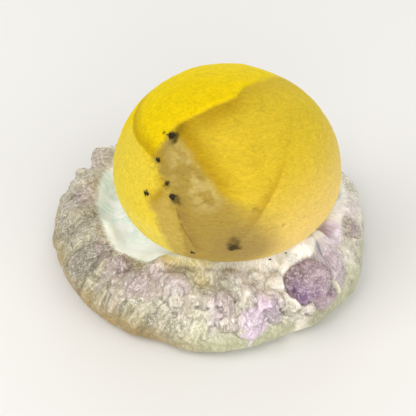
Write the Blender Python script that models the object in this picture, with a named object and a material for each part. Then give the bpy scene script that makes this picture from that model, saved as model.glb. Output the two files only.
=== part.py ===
"""Fluorite on amethyst: a ball of yellow fluorite grown on a low cluster of pale amethyst crystals.

Metres, +Z up. The origin is the middle of the flat underside, -Y is the front and +X is to the right.
The cluster is laid out in polar form about the ball's axis: a bearing is in degrees, anticlockwise from
+X, and a distance is from that axis.
"""

import math
import random

import bmesh
import bpy
from mathutils import Matrix, Vector, noise

MM = 0.001

# The ball is a squashed sphere, flatter below its middle than above it.
BALL_MIDDLE = Vector((2.9, -2.8, 19.8)) * MM
BALL_HALF_WIDTH = 16.8 * MM
BALL_HALF_DEPTH = 15.8 * MM
BALL_RISE = 15.3 * MM
BALL_DROP = 11.6 * MM
BALL_SEGMENTS = 40
BALL_RINGS = 24
# The lobes that the ball grew from: the way each one faces, how far from the ball's middle its seam
# lies, and how far it stands proud of a plain sphere. Both are shares of the ball's radius.
BALL_LOBES = (
    ((-0.52, 0.62, 0.58), 0.49, 0.014),
    ((-0.75, -0.25, -0.60), 0.28, 0.024),
    ((0.81, 0.14, -0.57), -0.08, 0.018),
)
SEAT_GAP = 0.3 * MM

# The cluster's edge and the crest of its rim of crystals, as (bearing, distance in mm), and the
# height of the crest, as (bearing, height in mm).
OUTLINE = (
    (0, 22.5),
    (45, 27.0),
    (90, 25.8),
    (140, 30.0),
    (165, 29.7),
    (195, 26.2),
    (225, 23.3),
    (260, 21.2),
    (300, 19.6),
    (335, 21.7),
)
CREST = (
    (0, 18.0),
    (20, 20.0),
    (90, 20.5),
    (150, 22.5),
    (180, 19.6),
    (200, 16.5),
    (215, 12.0),
    (260, 10.0),
    (300, 11.2),
    (325, 14.5),
    (345, 16.5),
)
CREST_HEIGHT = (
    (0, 8.2),
    (90, 9.2),
    (150, 9.0),
    (185, 7.8),
    (210, 8.2),
    (235, 9.8),
    (265, 10.2),
    (295, 9.8),
    (320, 8.6),
)
# The wall of the cluster up to its shoulder, as (share of the outline, height in mm). It starts
# below the underside, where it is cut off flat.
WALL = (
    (0.80, -0.7),
    (0.945, 0.7),
    (0.985, 1.8),
    (0.985, 3.2),
    (0.955, 4.8),
    (0.90, 6.2),
    (0.83, 7.2),
)
BACK_IS_HIGHER = 0.22
RIM_SWELLS = 0.4 * MM
# Inside the rim, a smooth hollow drops from the crest and rises again to the seat under the ball.
# It is full depth where the crest is far from the ball, and gone where the crest meets the ball.
HOLLOW_HEIGHT = 6.2 * MM
HOLLOW_SLOPE = 2.0 * MM
NO_HOLLOW_AT_CREST = 10.0 * MM
HOLLOW_DEEPENS_OVER = 6.0 * MM
SEAT_HEIGHT = 9.6 * MM
SEAT_RADIUS = 8.5 * MM
SEAT_TOP_SHARE = 0.6
LEAST_STEP = 0.4 * MM
CLUSTER_SEGMENTS = 48
LUMP_SIZE = 4.5 * MM
LUMP_HEIGHT = 0.45 * MM

# The crystals that are told apart at a glance: bearing, distance and height of the tip in mm, width
# in mm, how much longer than wide it is across, lean outwards and turn about its axis in degrees,
# and how blunt its tip is, as a share of its width.
LARGE_CRYSTALS = (
    (318, 17.2, 10.9, 9.2, 0.85, 24, 20, 0.34),
    (331, 17.3, 10.4, 5.6, 0.85, 16, 5, 0.30),
    (357, 20.6, 8.6, 3.0, 1.30, 26, 15, 0.30),
    (298, 14.8, 9.8, 2.4, 1.20, 10, 0, 0.30),
    (301, 18.3, 7.6, 2.8, 1.35, 32, 10, 0.40),
    (309, 19.2, 7.0, 2.8, 1.30, 40, 25, 0.40),
    (289, 18.0, 9.0, 3.6, 1.35, 34, 0, 0.30),
    (279, 18.8, 8.2, 3.8, 1.30, 38, 12, 0.35),
    (280, 15.8, 10.3, 3.6, 0.80, 22, 8, 0.30),
    (268, 16.8, 9.8, 3.8, 0.90, 26, 18, 0.38),
    (272, 13.4, 11.2, 3.4, 0.90, 12, 0, 0.35),
    (256, 17.2, 9.7, 3.4, 1.70, 34, 8, 0.30),
    (241, 16.4, 10.6, 4.0, 1.20, 28, 14, 0.28),
    (225, 14.6, 11.0, 4.6, 1.00, 14, 0, 0.22),
    (221, 18.4, 9.8, 4.6, 0.95, 28, 20, 0.34),
    (207, 18.2, 10.2, 3.6, 1.00, 14, 10, 0.24),
    (196, 21.6, 9.0, 3.4, 0.90, 24, 0, 0.40),
    (195, 24.2, 7.0, 3.6, 0.90, 44, 30, 0.45),
    (184, 20.6, 9.8, 6.6, 0.90, 12, 10, 0.50),
    (173, 25.0, 9.2, 4.6, 1.20, 30, 0, 0.30),
    (158, 24.8, 10.4, 4.4, 1.30, 22, 12, 0.34),
    (154, 27.4, 10.0, 2.4, 1.00, 28, 0, 0.20),
    (141, 25.6, 11.0, 6.6, 0.95, 20, 25, 0.50),
    (120, 24.2, 11.2, 5.6, 1.10, 18, 10, 0.35),
    (96, 23.0, 11.0, 6.2, 0.90, 16, 0, 0.30),
    (70, 23.2, 10.8, 5.0, 1.15, 20, 22, 0.34),
    (46, 23.4, 11.0, 6.2, 0.95, 18, 12, 0.40),
    (22, 22.0, 10.3, 6.0, 1.10, 18, 8, 0.50),
    (8, 21.0, 8.6, 4.2, 1.20, 30, 0, 0.50),
    (342, 19.2, 8.6, 3.6, 1.10, 26, 16, 0.35),
)
# Smaller crystals crowd the rim between them, from its crest down to the lowest level of the wall
# that they reach. They stand square to the surface, and get lower and longer down the wall.
LOWEST_CRYSTAL_LEVEL = 3
SMALL_CRYSTAL_WIDTHS = (3.0 * MM, 4.8 * MM)
SMALL_CRYSTAL_RISE = (1.0 * MM, 1.7 * MM)
RISE_LEFT_AT_WALL = 0.35
STRETCH_AT_WALL = 1.6
SMALL_CRYSTAL_SLANT = 10.0
SMALL_CRYSTAL_TRIES = 4000
MOST_SMALL_CRYSTALS = 150
CROWDING = 0.33
CRYSTAL_DEPTH = 4.0 * MM
ROOT_WIDTH = 0.84
# The height of a crystal's pyramid as a share of its width, upright and lying over at 90 degrees.
PEAK_UPRIGHT = 0.50
PEAK_LYING = 0.16
# A blunt tip is narrower one way, and every tip sits off the crystal's middle, so its faces differ.
TIP_NARROWS = 0.45
TIP_SHIFT = (0.06, 0.04)
SOWING_SEED = 11


def clear_scene():
    for thing in list(bpy.data.objects):
        bpy.data.objects.remove(thing, do_unlink=True)


def crystal_material(name, colour, roughness):
    material = bpy.data.materials.new(name)
    material.use_nodes = True
    shader = material.node_tree.nodes["Principled BSDF"]
    shader.inputs["Base Color"].default_value = (*colour, 1.0)
    shader.inputs["Roughness"].default_value = roughness
    shader.inputs["Metallic"].default_value = 0.0
    return material


def object_from(mesh, name, material=None):
    """Turns a bmesh into an object of this name, in the scene."""
    bmesh.ops.recalc_face_normals(mesh, faces=mesh.faces[:])
    data = bpy.data.meshes.new(name)
    mesh.to_mesh(data)
    mesh.free()
    if material:
        data.materials.append(material)
    made = bpy.data.objects.new(name, data)
    bpy.context.scene.collection.objects.link(made)
    return made


def as_helper(helper):
    helper.hide_render = True
    helper.display_type = "WIRE"
    return helper


def around(stops, bearing):
    """The value at a bearing on a smooth closed curve through (bearing, value) stops."""
    laps = [(at + 360 * lap, value) for lap in (-1, 0, 1) for at, value in stops]
    bearing %= 360
    here = max(i for i, (at, value) in enumerate(laps) if at <= bearing)
    (at0, v0), (at1, v1), (at2, v2), (at3, v3) = laps[here - 1 : here + 3]
    span = at2 - at1
    t = (bearing - at1) / span
    leaving = (v2 - v0) / (at2 - at0) * span
    arriving = (v3 - v1) / (at3 - at1) * span
    bend = v1 * (2 * t**3 - 3 * t**2 + 1) + v2 * (3 * t**2 - 2 * t**3)
    return bend + leaving * (t**3 - 2 * t**2 + t) + arriving * (t**3 - t**2)


def lobe_reach(way, facing, seam, proud):
    """How far a lobe of the ball reaches in one direction, as a share of the ball's radius."""
    offset = ((1 + proud) ** 2 - 1) / (2 * (1 + proud - seam))
    radius = 1 + proud - offset
    along = offset * way.dot(Vector(facing).normalized())
    return along + math.sqrt(radius**2 - offset**2 + along**2)


def ball_point(way, grown):
    reach = max([1.0] + [lobe_reach(way, *lobe) for lobe in BALL_LOBES])
    height = BALL_RISE if way.z > 0 else BALL_DROP
    return BALL_MIDDLE + Vector(
        (
            way.x * (BALL_HALF_WIDTH * reach + grown),
            way.y * (BALL_HALF_DEPTH * reach + grown),
            way.z * (height * reach + grown),
        )
    )


def ball_shape(grown):
    """The ball's skin, moved outwards by a set distance."""
    mesh = bmesh.new()
    bmesh.ops.create_uvsphere(
        mesh, u_segments=BALL_SEGMENTS, v_segments=BALL_RINGS, radius=1.0
    )
    for vertex in mesh.verts:
        vertex.co = ball_point(vertex.co.normalized(), grown)
    return mesh


def make_fluorite_ball():
    material = crystal_material("yellow_fluorite", (0.80, 0.58, 0.05), 0.55)
    ball = object_from(ball_shape(0.0), "fluorite_ball", material)
    ball.data.shade_smooth()
    return ball


def section(bearing):
    """The cluster's section at a bearing, as (distance, height) from the underside to the seat."""
    edge = around(OUTLINE, bearing) * MM
    crest = around(CREST, bearing) * MM
    lift = 1 + BACK_IS_HIGHER * max(math.sin(math.radians(bearing)), 0)
    depth_share = min(max((crest - NO_HOLLOW_AT_CREST) / HOLLOW_DEEPENS_OVER, 0), 1)
    crest_height = around(CREST_HEIGHT, bearing) * MM
    hollow = crest_height + (HOLLOW_HEIGHT - crest_height) * depth_share
    foot = max(crest - HOLLOW_SLOPE, SEAT_RADIUS + LEAST_STEP)
    wall = [(edge * share, height * MM * lift) for share, height in WALL]
    top = [
        ((wall[-1][0] + crest) / 2, (wall[-1][1] + crest_height) / 2 + RIM_SWELLS),
        (crest, crest_height),
        (foot, hollow),
        ((foot + SEAT_RADIUS) / 2, hollow),
        (SEAT_RADIUS, (hollow + SEAT_HEIGHT) / 2),
        (SEAT_RADIUS * SEAT_TOP_SHARE, SEAT_HEIGHT),
    ]
    return wall + top


def rim_place(bearing, share):
    """Distance, height and lean of the rim's surface, from its crest (0) down the wall (1)."""
    steps = section(bearing)[LOWEST_CRYSTAL_LEVEL : len(WALL) + 2][::-1]
    lengths = [math.dist(*pair) for pair in zip(steps, steps[1:])]
    left = share * sum(lengths)
    for start, end, length in zip(steps, steps[1:], lengths):
        if left <= length:
            break
        left -= length
    outwards, upwards = end[0] - start[0], end[1] - start[1]
    done = left / length
    lean = math.degrees(math.atan2(-upwards, outwards))
    return start[0] + outwards * done, start[1] + upwards * done, lean


def at_bearing(bearing, distance, height):
    angle = math.radians(bearing)
    return Vector(
        (
            BALL_MIDDLE.x + distance * math.cos(angle),
            BALL_MIDDLE.y + distance * math.sin(angle),
            height,
        )
    )


def lump(place):
    """How far the quartz swells out at a place: a soft noise of low lumps."""
    return LUMP_HEIGHT * noise.noise(place / LUMP_SIZE)


def set_ring(verts, level):
    """Puts one ring of the cluster's body where the section says, swollen by its lumps."""
    for vertex in verts:
        bearing = math.degrees(math.atan2(vertex.co.y, vertex.co.x))
        distance, height = section(bearing)[level]
        swell = lump(at_bearing(bearing, distance, height))
        reach = distance + swell
        vertex.co.x = reach * math.cos(math.radians(bearing))
        vertex.co.y = reach * math.sin(math.radians(bearing))
        vertex.co.z = height + swell


def quartz_body():
    """The pale quartz that the crystals grow from, as rings from the underside up to the seat."""
    mesh = bmesh.new()
    bmesh.ops.create_circle(mesh, cap_ends=True, segments=CLUSTER_SEGMENTS, radius=1.0)
    set_ring(mesh.verts, 0)
    ring = mesh.edges[:]
    for level in range(1, len(section(0))):
        grown = bmesh.ops.extrude_edge_only(mesh, edges=ring)["geom"]
        ring = [part for part in grown if isinstance(part, bmesh.types.BMEdge)]
        set_ring([part for part in grown if isinstance(part, bmesh.types.BMVert)], level)
    bmesh.ops.contextual_create(mesh, geom=ring)
    bmesh.ops.translate(mesh, verts=mesh.verts, vec=(BALL_MIDDLE.x, BALL_MIDDLE.y, 0))
    return mesh


def ground_slab():
    """A block that fills the space below the underside."""
    mesh = bmesh.new()
    size = Vector((80, 80, 6)) * MM
    bmesh.ops.create_cube(mesh, size=1.0)
    bmesh.ops.scale(mesh, verts=mesh.verts, vec=size)
    bmesh.ops.translate(mesh, verts=mesh.verts, vec=(0, 0, -size.z / 2))
    return mesh


def crystal_shape(width, length_share, peak, blunt):
    """A six-sided quartz crystal along +Z, its tip at the origin: a short prism and a pyramid."""
    mesh = bmesh.new()
    shoulder = -peak * width * (1 - blunt)
    bmesh.ops.create_cone(
        mesh,
        cap_ends=True,
        segments=6,
        radius1=width * ROOT_WIDTH / 2,
        radius2=width / 2,
        depth=CRYSTAL_DEPTH,
        matrix=Matrix.Translation((0, 0, shoulder - CRYSTAL_DEPTH / 2)),
    )
    top = [face for face in mesh.faces if face.normal.z > 0.9]
    tip = bmesh.ops.extrude_face_region(mesh, geom=top)["geom"]
    tip = [part for part in tip if isinstance(part, bmesh.types.BMVert)]
    bmesh.ops.delete(mesh, geom=top, context="FACES_ONLY")
    bmesh.ops.scale(
        mesh, verts=tip, vec=(blunt, blunt * TIP_NARROWS, 1), space=Matrix.Translation((0, 0, -shoulder))
    )
    shift_x, shift_y = TIP_SHIFT
    bmesh.ops.translate(mesh, verts=tip, vec=(shift_x * width, shift_y * width, -shoulder))
    if not blunt:
        bmesh.ops.pointmerge(mesh, verts=tip, merge_co=tip[0].co)
    bmesh.ops.scale(mesh, verts=mesh.verts, vec=(1.0, length_share, 1.0))
    return mesh


def grow_crystal(where, name, bearing, distance, tip_height, width, length_share, lean, turn, blunt):
    """Puts one crystal's tip at its place, its axis leaning outwards, as a helper in a collection."""
    peak = PEAK_UPRIGHT + (PEAK_LYING - PEAK_UPRIGHT) * min(max(lean, 0) / 90, 1)
    mesh = crystal_shape(width, length_share, peak, blunt)
    tilt = Matrix.Rotation(math.radians(bearing), 4, "Z") @ Matrix.Rotation(
        math.radians(lean), 4, "Y"
    )
    spot = Matrix.Translation(at_bearing(bearing, distance, tip_height))
    mesh.transform(spot @ tilt @ Matrix.Rotation(math.radians(turn), 4, "Z"))
    crystal = as_helper(object_from(mesh, name))
    bpy.context.scene.collection.objects.unlink(crystal)
    where.objects.link(crystal)


def sow_small_crystals():
    """Places for small crystals over the rim, none of them crowding a larger one."""
    dice = random.Random(SOWING_SEED)
    taken = []
    for bearing, distance, height, width, *_ in LARGE_CRYSTALS:
        taken.append((at_bearing(bearing, distance * MM, height * MM), width * MM))
    sown = []
    for _ in range(SMALL_CRYSTAL_TRIES):
        bearing, share = dice.uniform(0, 360), dice.random()
        width, rise = dice.uniform(*SMALL_CRYSTAL_WIDTHS), dice.uniform(*SMALL_CRYSTAL_RISE)
        slant = dice.uniform(-SMALL_CRYSTAL_SLANT, SMALL_CRYSTAL_SLANT)
        turn = dice.uniform(0, 60)
        distance, height, lean = rim_place(bearing, share)
        rise *= 1 - (1 - RISE_LEFT_AT_WALL) * share
        distance += rise * math.sin(math.radians(lean))
        height += rise * math.cos(math.radians(lean))
        spot = at_bearing(bearing, distance, height)
        if any((spot - other).length < CROWDING * (width + size) for other, size in taken):
            continue
        stretch = 1 + (STRETCH_AT_WALL - 1) * share
        taken.append((spot, width))
        sown.append((bearing, distance, height, width, 1 / stretch, lean + slant, turn, 0.0))
        if len(sown) == MOST_SMALL_CRYSTALS:
            break
    return sown


def grow_all_crystals():
    crystals = bpy.data.collections.new("crystals")
    bpy.context.scene.collection.children.link(crystals)
    for number, (bearing, distance, height, width, *shape) in enumerate(LARGE_CRYSTALS):
        place = (bearing, distance * MM, height * MM, width * MM)
        grow_crystal(crystals, f"large_crystal_{number:02d}", *place, *shape)
    for number, row in enumerate(sow_small_crystals()):
        grow_crystal(crystals, f"small_crystal_{number:02d}", *row)
    return crystals


def cut_away(cluster, name, shape):
    cut = cluster.modifiers.new(name, "BOOLEAN")
    cut.operation = "DIFFERENCE"
    cut.object = as_helper(object_from(shape, f"{name}_cutter"))
    cut.solver = "EXACT"


def make_amethyst_cluster():
    """Joins the crystals to the quartz body and cuts the seat for the ball and the flat underside."""
    material = crystal_material("pale_amethyst", (0.52, 0.47, 0.46), 0.35)
    cluster = object_from(quartz_body(), "amethyst_cluster", material)
    join = cluster.modifiers.new("crystals", "BOOLEAN")
    join.operation = "UNION"
    join.operand_type = "COLLECTION"
    join.collection = grow_all_crystals()
    join.solver = "EXACT"
    cut_away(cluster, "seat", ball_shape(SEAT_GAP))
    cut_away(cluster, "underside", ground_slab())
    return cluster


clear_scene()
make_fluorite_ball()
make_amethyst_cluster()
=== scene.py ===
"""The finish of the fluorite on amethyst: a velvety translucent ball on a crust of etched crystals.

Metres, +Z up, in the frame of the solids. Bearings are in degrees about the ball's axis, from +X.
A place on the ball is given by its way: the direction from the ball's middle in which it lies, with
each half size of the ball counting as 1.
"""

import math
import random

import bmesh
import bpy
import numpy as np
from mathutils import Euler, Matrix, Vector, noise
from mathutils.kdtree import KDTree


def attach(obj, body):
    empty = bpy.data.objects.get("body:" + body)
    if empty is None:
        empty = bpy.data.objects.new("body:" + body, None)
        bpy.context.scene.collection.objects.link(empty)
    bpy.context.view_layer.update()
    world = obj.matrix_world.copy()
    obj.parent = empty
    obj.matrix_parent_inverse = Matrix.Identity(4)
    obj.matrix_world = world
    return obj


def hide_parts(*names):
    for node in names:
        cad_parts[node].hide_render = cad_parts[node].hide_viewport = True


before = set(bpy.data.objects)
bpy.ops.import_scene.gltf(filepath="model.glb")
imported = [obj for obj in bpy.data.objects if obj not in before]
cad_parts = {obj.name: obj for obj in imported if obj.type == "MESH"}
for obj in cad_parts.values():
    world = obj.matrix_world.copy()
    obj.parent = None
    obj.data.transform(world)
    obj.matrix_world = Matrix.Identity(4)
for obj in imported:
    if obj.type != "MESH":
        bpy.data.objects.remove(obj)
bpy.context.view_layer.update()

MM = 0.001
UP = np.array((0.0, 0.0, 1.0))

# The ball, as in its solid: middle, half sizes above and below it, and the lobes that it grew from,
# each with the way it faces, the distance of its seam, and how proud it stands.
BALL_MIDDLE = np.array((2.9, -2.8, 19.8)) * MM
BALL_UPPER = np.array((16.8, 15.8, 15.3)) * MM
BALL_LOWER = np.array((16.8, 15.8, 11.6)) * MM
CAP = ((-0.52, 0.62, 0.58), 0.49, 0.014)
LEFT_LOBE = ((-0.75, -0.25, -0.60), 0.28, 0.024)
RIGHT_LOBE = ((0.81, 0.14, -0.57), -0.08, 0.018)
BALL_CUTS = 126

# The crest of the rim about the ball's axis, as (bearing, distance in mm). It rings the hollow.
CREST = (
    (0, 18.0), (20, 20.0), (90, 20.5), (150, 22.5), (180, 19.6), (200, 17.6),
    (215, 14.2), (235, 11.8), (260, 10.3), (300, 11.8), (325, 15.6), (345, 17.0),
)


def srgb(code):
    """A hex colour as linear RGBA."""
    parts = [int(code[at : at + 2], 16) / 255 for at in (1, 3, 5)]
    return (*[c / 12.92 if c <= 0.04045 else ((c + 0.055) / 1.055) ** 2.4 for c in parts], 1.0)


def set_inputs(tree, node, inputs):
    """Sets a node's inputs, or links them to the outputs of others."""
    for name, value in inputs.items():
        if isinstance(value, bpy.types.NodeSocket):
            tree.links.new(value, node.inputs[name])
        else:
            node.inputs[name].default_value = value


def add(tree, kind, inputs, output=0, **settings):
    """Adds a shader node with these properties and inputs, and gives one of its outputs."""
    node = tree.nodes.new("ShaderNode" + kind)
    for name, value in settings.items():
        setattr(node, name, value)
    set_inputs(tree, node, inputs)
    return node.outputs[output]


def new_material(name):
    """A material with its Principled shader, as (material, tree, shader)."""
    material = bpy.data.materials.new(name)
    material.use_nodes = True
    tree = material.node_tree
    return material, tree, tree.nodes["Principled BSDF"]


def lay_over(tree, below, paint, share, strength):
    """Lays a paint over what is below it, as far as its share and strength say."""
    share = add(tree, "Math", {0: share, 1: strength}, operation="MULTIPLY")
    return add(tree, "Mix", {0: share, 6: below, 7: srgb(paint)}, 2, data_type="RGBA")


def lay_paints(tree, colour, paints):
    """Lays the paint of each colour zone over a colour, in turn."""
    for zone, paint, strength in paints:
        share = add(tree, "Attribute", {}, "Fac", attribute_name=zone)
        colour = lay_over(tree, colour, paint, share, strength)
    return colour


def shade_by(tree, colour, pattern, levels, shades):
    """Shades a colour from one strength to another, as a pattern goes from level to level."""
    ends = {"From Min": levels[0], "From Max": levels[1], "To Min": shades[0], "To Max": shades[1]}
    shade = add(tree, "MapRange", {"Value": pattern, **ends})
    return add(tree, "VectorMath", {0: colour, "Scale": shade}, operation="SCALE")


def object_from(mesh, name, material):
    """Turns a bmesh into a smooth object at the origin, with this material."""
    data = bpy.data.meshes.new(name)
    mesh.to_mesh(data)
    mesh.free()
    data.materials.append(material)
    data.shade_smooth()
    made = bpy.data.objects.new(name, data)
    bpy.context.scene.collection.objects.link(made)
    return made


def apply_modifiers(thing):
    """Replaces an object's mesh by what its modifiers make of it."""
    graph = bpy.context.evaluated_depsgraph_get()
    made = bpy.data.meshes.new_from_object(thing.evaluated_get(graph))
    thing.modifiers.clear()
    thing.data = made


def keep_outer_shell(thing):
    """Drops the tiny closed voids that remeshing leaves inside a mesh."""
    mesh = bmesh.new()
    mesh.from_mesh(thing.data)
    top = max(mesh.verts, key=lambda vertex: vertex.co.z)
    reached, waiting = {top}, [top]
    while waiting:
        vertex = waiting.pop()
        beside = {edge.other_vert(vertex) for edge in vertex.link_edges} - reached
        reached |= beside
        waiting += beside
    bmesh.ops.delete(mesh, geom=[v for v in mesh.verts if v not in reached], context="VERTS")
    mesh.to_mesh(thing.data)
    mesh.free()


def places_of(points, name="co"):
    """The places or normals of a mesh's points as an array."""
    found = np.zeros(len(points) * 3)
    points.foreach_get(name, found)
    return found.reshape(-1, 3)


def store(mesh, fields):
    """Stores named numbers or vectors on the points of a mesh."""
    for name, values in fields.items():
        kind, field = ("FLOAT", "value") if values.ndim == 1 else ("FLOAT_VECTOR", "vector")
        layer = mesh.attributes.new(name, kind, "POINT")
        layer.data.foreach_set(field, values.astype(np.float32).ravel())


def soft_noise(places, size, depth=1):
    """Smooth noise between about -1 and 1 at each place, with features of this size."""
    if depth == 1:
        return np.array([noise.noise(Vector(place)) for place in places / size])
    return np.array([noise.fractal(Vector(place), 0.8, 2.1, depth) for place in places / size])


def fade(low, high, value):
    """0 up to the low end and 1 from the high end on, smooth between; the ends may be swapped."""
    t = np.clip((value - low) / (high - low), 0, 1)
    return t * t * (3 - 2 * t)


def groove(gap, width):
    """1 in the middle of a groove and 0 beyond its width."""
    return np.clip(1 - np.abs(gap) / width, 0, 1) ** 2


def unit(way):
    return np.array(way) / np.linalg.norm(way)


def around(stops, bearing):
    """The value at a bearing on a smooth closed curve through (bearing, value) stops."""
    laps = [(at + 360 * lap, value) for lap in (-1, 0, 1) for at, value in stops]
    bearing %= 360
    here = max(i for i, (at, value) in enumerate(laps) if at <= bearing)
    (at0, v0), (at1, v1), (at2, v2), (at3, v3) = laps[here - 1 : here + 3]
    span = at2 - at1
    t = (bearing - at1) / span
    leaving = (v2 - v0) / (at2 - at0) * span
    arriving = (v3 - v1) / (at3 - at1) * span
    bend = v1 * (2 * t**3 - 3 * t**2 + 1) + v2 * (3 * t**2 - 2 * t**3)
    return bend + leaving * (t**3 - 2 * t**2 + t) + arriving * (t**3 - t**2)


# ---- the ball's shape

SEAM_DEPTH = 0.20 * MM
CAP_STEP = 0.17 * MM
CREASE_DEPTH = 0.10 * MM
CRACK_DEPTH = 0.16 * MM
# Widths of those lines, as shares of the ball's half sizes.
SEAM_WIDTH = 0.022
CREASE_WIDTH = 0.014
CRACK_WIDTH = 0.016
FINE_CRACK_WIDTH = 0.012
STREAK_LENGTH = 1.3 * MM
STREAK_WIDTH = 0.55 * MM
STREAK_HEIGHT = 0.06 * MM
SWELL_SIZE = 5.0 * MM
SWELL_HEIGHT = 0.10 * MM
# How far lines and the edges of colours stray from their course, and over what distance they do.
WANDER = 0.014
WANDER_SIZE = 3.5 * MM
FINE_WANDER = 0.03
FINE_WANDER_SIZE = 0.7 * MM

# Planes through the ball, each as the way it faces and its distance from the middle: the seam
# below the cap's left side, and where the right lobe meets the body.
SHOULDER = ((0.0, 0.0, 1.0), 0.582)
CREASE = ((0.806, 0.14, -0.575), -0.078)
# The walls of the clearer sector at the front, which shows like a window between its neighbours.
WINDOW_LEFT = ((-0.924, -0.372, -0.092), 0.728)
WINDOW_RIGHT = ((-0.83, -0.527, -0.184), 0.454)
# The plane along the crack, right of which the body is shaded.
CRACK_SIDE = ((0.882, 0.431, 0.19), -0.697)
# How far the cap's edge strays from its plane, by how far right it lies.
FOLD_AT = (-0.42, -0.20, 0.06, 0.12, 0.30)
FOLD_STRAYS = (0.0, -0.014, -0.034, 0.020, 0.006)
# Cracks, as ways along them.
CRACK = (
    (-0.449, -0.819, 0.356),
    (-0.41, -0.882, 0.234),
    (-0.374, -0.922, 0.101),
    (-0.313, -0.95, -0.013),
    (-0.285, -0.95, -0.13),
)
FINE_CRACK = ((-0.302, -0.887, 0.348), (-0.24, -0.895, 0.372), (-0.173, -0.890, 0.422))


def lobe_reach(ways, facing, seam, proud):
    """How far a lobe of the ball reaches along each way."""
    offset = ((1 + proud) ** 2 - 1) / (2 * (1 + proud - seam))
    radius = 1 + proud - offset
    along = offset * (ways @ unit(facing))
    return along + np.sqrt(radius**2 - offset**2 + along**2)


def ball_places(ways, raised=0.0):
    """The places on the ball's skin along each way, raised by set distances."""
    reach = np.ones(len(ways))
    for lobe in (CAP, LEFT_LOBE, RIGHT_LOBE):
        reach = np.maximum(reach, lobe_reach(ways, *lobe))
    raised = np.broadcast_to(raised, len(ways))[:, None]
    half_sizes = np.where(ways[:, 2:] > 0, BALL_UPPER, BALL_LOWER)
    return BALL_MIDDLE + ways * (half_sizes * reach[:, None] + raised)


def past(ways, plane):
    """How far each way lies past a plane through the ball."""
    return ways @ unit(plane[0]) - plane[1]


def past_fold(ways):
    """How far each way lies past the cap's edge."""
    return past(ways, CAP) - np.interp(ways[:, 0], FOLD_AT, FOLD_STRAYS)


def gap_to(ways, route):
    """The distance from each way to a route of straight pieces."""
    gap = np.full(len(ways), 9.0)
    for start, end in zip(np.array(route), np.array(route[1:])):
        run = end - start
        share = np.clip((ways - start) @ run / (run @ run), 0, 1)
        gap = np.minimum(gap, np.linalg.norm(ways - start - share[:, None] * run, axis=1))
    return gap


def crease_strength(ways):
    """The crease is faint on the ball's shoulder and plain lower down."""
    return 0.25 + 0.75 * fade(0.72, 0.40, ways[:, 2])


def ball_relief(ways, wander, fine_wander):
    """The height of the ball's fine detail: seams, cap's edge, crease, cracks and velvet."""
    places = ball_places(ways)
    relief = SWELL_HEIGHT * soft_noise(places, SWELL_SIZE)
    shoulder = past(ways, SHOULDER) + wander
    on_left = fade(-0.50, -0.62, ways[:, 0])
    relief -= SEAM_DEPTH * groove(shoulder, SEAM_WIDTH) * on_left
    cap = past_fold(ways) + 0.8 * wander
    at_fold = np.maximum(1 - on_left, fade(0.0, 0.05, shoulder))
    stepped = at_fold * fade(-0.46, -0.36, ways[:, 0]) * fade(0.30, 0.10, ways[:, 0])
    relief += CAP_STEP * (fade(-0.006, 0.016, cap) - 0.5) * stepped
    crease = past(ways, CREASE) + wander
    relief -= CREASE_DEPTH * groove(crease, CREASE_WIDTH) * crease_strength(ways)
    crack = gap_to(ways, CRACK) + 0.2 * fine_wander
    fine_crack = gap_to(ways, FINE_CRACK) + 0.2 * fine_wander
    relief -= CRACK_DEPTH * groove(crack, CRACK_WIDTH)
    relief -= 0.5 * CRACK_DEPTH * groove(fine_crack, FINE_CRACK_WIDTH)
    streaks = places / (STREAK_LENGTH, STREAK_LENGTH, STREAK_WIDTH)
    return relief + STREAK_HEIGHT * soft_noise(streaks, 1.0, 2)


def sphere_of_quads(cuts):
    """A unit sphere of even quads: a cube whose faces are cut into a grid, pushed out round."""
    mesh = bmesh.new()
    bmesh.ops.create_cube(mesh, size=1.0)
    bmesh.ops.subdivide_edges(mesh, edges=mesh.edges[:], cuts=cuts, use_grid_fill=True)
    for vertex in mesh.verts:
        vertex.co = Vector([math.tan(c * math.pi / 2) for c in vertex.co]).normalized()
    return mesh


def make_ball_skin():
    skin = object_from(sphere_of_quads(BALL_CUTS), "fluorite_ball_skin", yellow_fluorite())
    ways = places_of(skin.data.vertices)
    places = ball_places(ways)
    wander = WANDER * soft_noise(places, WANDER_SIZE, 2)
    fine_wander = FINE_WANDER * soft_noise(places, FINE_WANDER_SIZE, 2)
    places = ball_places(ways, ball_relief(ways, wander, fine_wander))
    skin.data.vertices.foreach_set("co", places.ravel())
    store(skin.data, ball_colours(ways, wander, fine_wander))
    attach(skin, "root")
    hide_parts("fluorite_ball")


# ---- the ball's colours

# Dark mineral seen through the skin: the way it lies, its radius and softness, and how dark it is.
SMUDGES = (
    ((-0.466, -0.431, 0.772), 0.020, 0.030, 1.0),
    ((-0.450, -0.450, 0.771), 0.030, 0.040, 0.8),
    ((-0.400, -0.400, 0.820), 0.010, 0.070, 0.35),
    ((-0.525, -0.378, 0.763), 0.006, 0.016, 0.9),
    ((-0.581, -0.551, 0.599), 0.012, 0.022, 0.9),
    ((-0.506, -0.728, 0.462), 0.013, 0.028, 0.85),
    ((-0.460, -0.800, 0.385), 0.020, 0.022, 1.0),
    ((-0.430, -0.830, 0.360), 0.016, 0.060, 0.65),
    ((-0.678, -0.666, 0.311), 0.016, 0.014, 1.0),
    ((0.045, -0.992, -0.095), 0.034, 0.042, 0.85),
    ((0.047, -0.997, -0.045), 0.030, 0.050, 0.66),
    ((0.050, -0.997, 0.010), 0.020, 0.050, 0.52),
    ((0.052, -0.997, 0.060), 0.008, 0.050, 0.40),
    ((0.210, -0.915, 0.340), 0.008, 0.035, 0.30),
    ((0.446, -0.887, 0.117), 0.004, 0.014, 0.5),
)
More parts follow.
